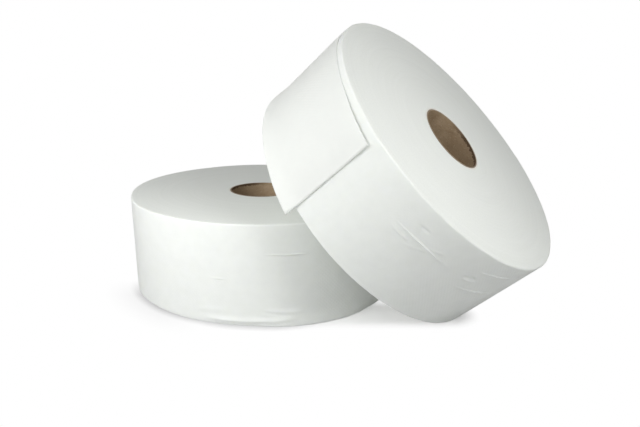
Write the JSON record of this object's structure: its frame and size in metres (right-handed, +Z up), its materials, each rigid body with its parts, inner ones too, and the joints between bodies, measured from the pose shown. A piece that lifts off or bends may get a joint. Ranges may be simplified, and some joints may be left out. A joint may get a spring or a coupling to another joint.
{
  "type": "pair of jumbo toilet paper rolls",
  "caption": "Large white toilet tissue rolls on board cores, one lying flat and one leaning on its rim with a loose tail.",
  "frame": {"origin": "on the floor, on the axis of the roll that lies flat", "axes": "+Z up along the flat roll's axis, +X towards the side where the other roll leans, -Y towards the viewer of the picture"},
  "size_m": [0.3949, 0.3403, 0.2518],
  "materials": {
    "tissue_paper": "matte",
    "kraft_board": "matte"
  },
  "bodies": {
    "root": {"flat_roll_paper": "tissue_paper", "flat_roll_core": "kraft_board", "leaning_roll_paper": "tissue_paper", "leaning_roll_core": "kraft_board"}
  },
  "joints": []
}
